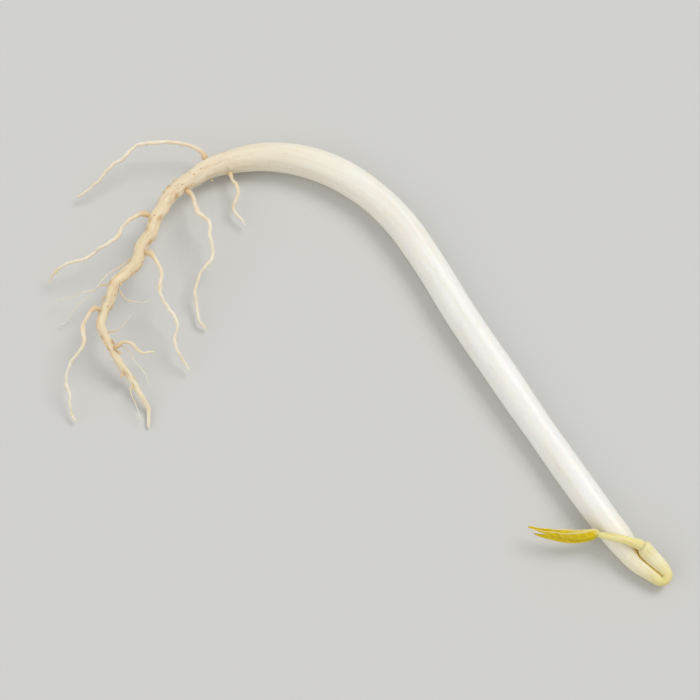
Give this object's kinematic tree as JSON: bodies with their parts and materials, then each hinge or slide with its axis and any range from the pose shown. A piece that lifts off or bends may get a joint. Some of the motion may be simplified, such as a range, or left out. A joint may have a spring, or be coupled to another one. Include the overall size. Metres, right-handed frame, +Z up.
{
  "type": "mung bean sprout",
  "caption": "White mung bean sprout lying on its side: hooked head with a folded yellow leaf pair, juicy stem bent over at the root end, tapering root with fine side roots.",
  "frame": {"origin": "middle of the footprint, on the surface that the sprout lies on", "axes": "+Z up from that surface; +X from the root end towards the hooked head; +Y away from the head, towards the bend"},
  "size_m": [0.0538, 0.0413, 0.0045],
  "materials": {
    "stem_white": "satin",
    "shoot_cream": "satin",
    "leaf_yellow": "satin",
    "root_cream": "matte"
  },
  "bodies": {
    "root": {"stem_with_taproot": "stem_white", "shoot": "shoot_cream", "first_leaf_upper": "leaf_yellow", "first_leaf_lower": "leaf_yellow", "side_root_1": "root_cream", "side_root_2": "root_cream", "side_root_3": "root_cream", "side_root_4": "root_cream", "side_root_5": "root_cream", "side_root_6": "root_cream", "side_root_7": "root_cream"}
  },
  "joints": []
}
